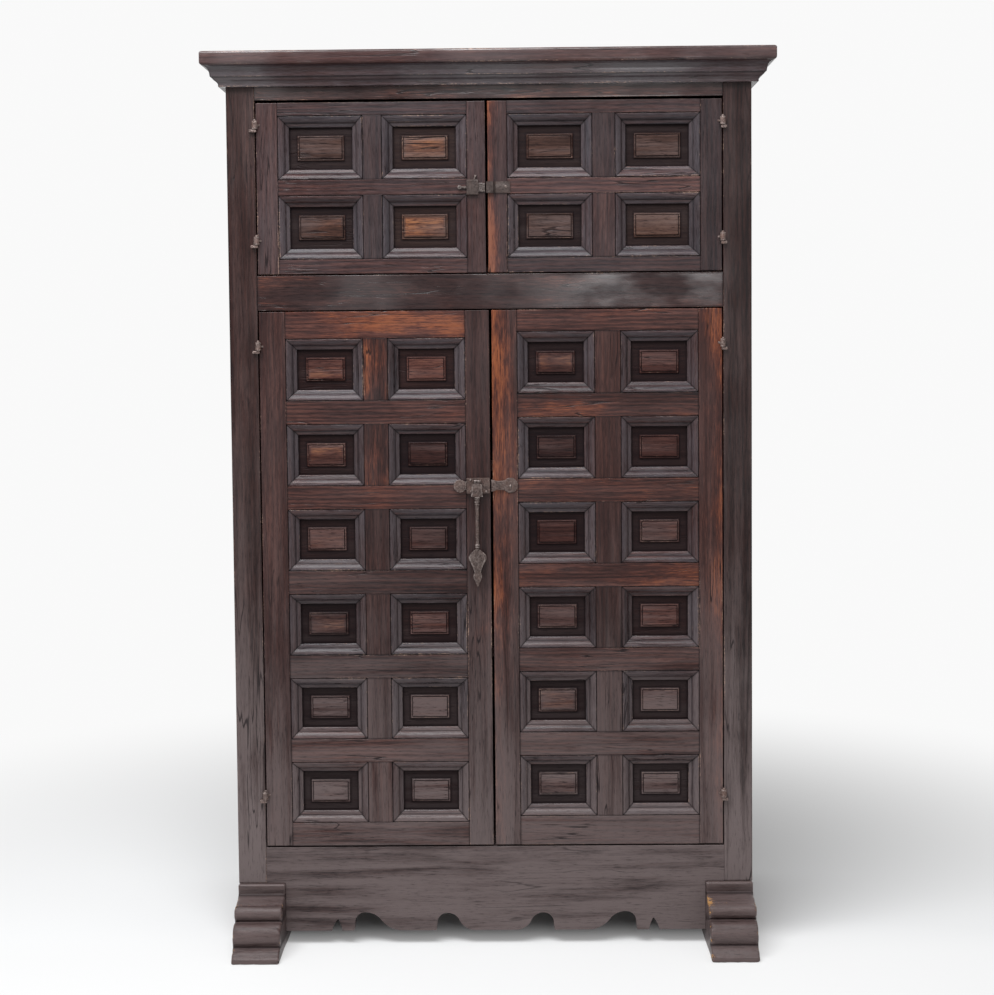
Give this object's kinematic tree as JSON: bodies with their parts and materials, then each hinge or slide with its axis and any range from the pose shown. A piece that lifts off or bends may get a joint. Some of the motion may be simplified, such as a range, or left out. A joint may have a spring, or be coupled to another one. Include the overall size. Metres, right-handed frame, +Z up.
{
  "type": "trastero cabinet",
  "caption": "Tall two-part cupboard with paired framed-and-fielded leaves on forged pintle hinges, sliding bolts, a crown cornice and runner feet.",
  "frame": {"origin": "on the floor, at the centre of the bounding box's base", "axes": "+X to the viewer's right when facing the doors, -Y out of the front, +Z up"},
  "size_m": [1.196, 0.598, 1.9],
  "materials": {
    "case_wood": "dark stained and waxed",
    "leaf_wood": "dark stained, worn at the edges",
    "panel_wood": "dark stained and waxed",
    "board_wood": "raw, darkened with age",
    "foot_wood": "dark stained, rubbed and chipped",
    "cornice_wood": "dark stained and waxed",
    "forged_iron": "hand forged, grey-brown"
  },
  "bodies": {
    "case": {"apron": "case_wood", "back_boards": "board_wood", "bottom_board": "board_wood", "cornice_front": "cornice_wood", "cornice_left": "cornice_wood", "cornice_right": "cornice_wood", "cornice_slab": "cornice_wood", "divider_shelf": "board_wood", "foot_left": "foot_wood", "foot_right": "foot_wood", "front_post_left": "case_wood", "front_post_right": "case_wood", "head_rail": "case_wood", "hinge_pintles": "forged_iron", "lower_shelf_1": "board_wood", "lower_shelf_2": "board_wood", "mid_rail": "case_wood", "rear_post_left": "case_wood", "rear_post_right": "case_wood", "rear_rails": "board_wood", "shelf_cleats": "board_wood", "side_panels_left": "case_wood", "side_panels_right": "case_wood", "side_rails_left": "case_wood", "side_rails_right": "case_wood"},
    "upper_left_leaf": {"upper_left_hinge_stile": "leaf_wood", "upper_left_meeting_stile": "leaf_wood", "upper_left_rails": "leaf_wood", "upper_left_muntins": "leaf_wood", "upper_left_panels": "panel_wood", "upper_left_hinge_eyes": "forged_iron", "upper_bolt_guide": "forged_iron"},
    "upper_right_leaf": {"upper_right_hinge_stile": "leaf_wood", "upper_right_meeting_stile": "leaf_wood", "upper_right_rails": "leaf_wood", "upper_right_muntins": "leaf_wood", "upper_right_panels": "panel_wood", "upper_right_hinge_eyes": "forged_iron", "upper_keeper": "forged_iron"},
    "lower_left_leaf": {"lower_left_hinge_stile": "leaf_wood", "lower_left_meeting_stile": "leaf_wood", "lower_left_rails": "leaf_wood", "lower_left_muntins": "leaf_wood", "lower_left_panels": "panel_wood", "lower_left_hinge_eyes": "forged_iron", "lower_latch_plate": "forged_iron"},
    "lower_right_leaf": {"lower_right_hinge_stile": "leaf_wood", "lower_right_meeting_stile": "leaf_wood", "lower_right_rails": "leaf_wood", "lower_right_muntins": "leaf_wood", "lower_right_panels": "panel_wood", "lower_right_hinge_eyes": "forged_iron", "lower_keeper": "forged_iron"},
    "upper_bolt": {"upper_bolt": "forged_iron"},
    "lower_bolt": {"lower_bolt": "forged_iron"},
    "drop_handle": {"drop_handle": "forged_iron"}
  },
  "joints": [
    {"name": "upper_left_hinge", "type": "hinge", "parent": "case", "child": "upper_left_leaf", "pos_m": [-0.48975, -0.188, 1.6], "axis": [0, 0, -1], "range_deg": [0, 170]},
    {"name": "upper_right_hinge", "type": "hinge", "parent": "case", "child": "upper_right_leaf", "pos_m": [0.48975, -0.188, 1.6], "axis": [0, 0, 1], "range_deg": [0, 170]},
    {"name": "lower_left_hinge", "type": "hinge", "parent": "case", "child": "lower_left_leaf", "pos_m": [-0.48975, -0.188, 0.5], "axis": [0, 0, -1], "range_deg": [0, 170]},
    {"name": "lower_right_hinge", "type": "hinge", "parent": "case", "child": "lower_right_leaf", "pos_m": [0.48975, -0.188, 0.5], "axis": [0, 0, 1], "range_deg": [0, 170]},
    {"name": "upper_bolt_slide", "type": "slide", "parent": "upper_left_leaf", "child": "upper_bolt", "axis": [1, 0, 0], "range_m": [0, 0.01]},
    {"name": "lower_bolt_slide", "type": "slide", "parent": "lower_left_leaf", "child": "lower_bolt", "axis": [1, 0, 0], "range_m": [0, 0.01]},
    {"name": "drop_handle_swing", "type": "hinge", "parent": "lower_left_leaf", "child": "drop_handle", "pos_m": [-0.031, -0.1936, 0.999], "axis": [-1, 0, 0], "range_deg": [0, 100]}
  ]
}
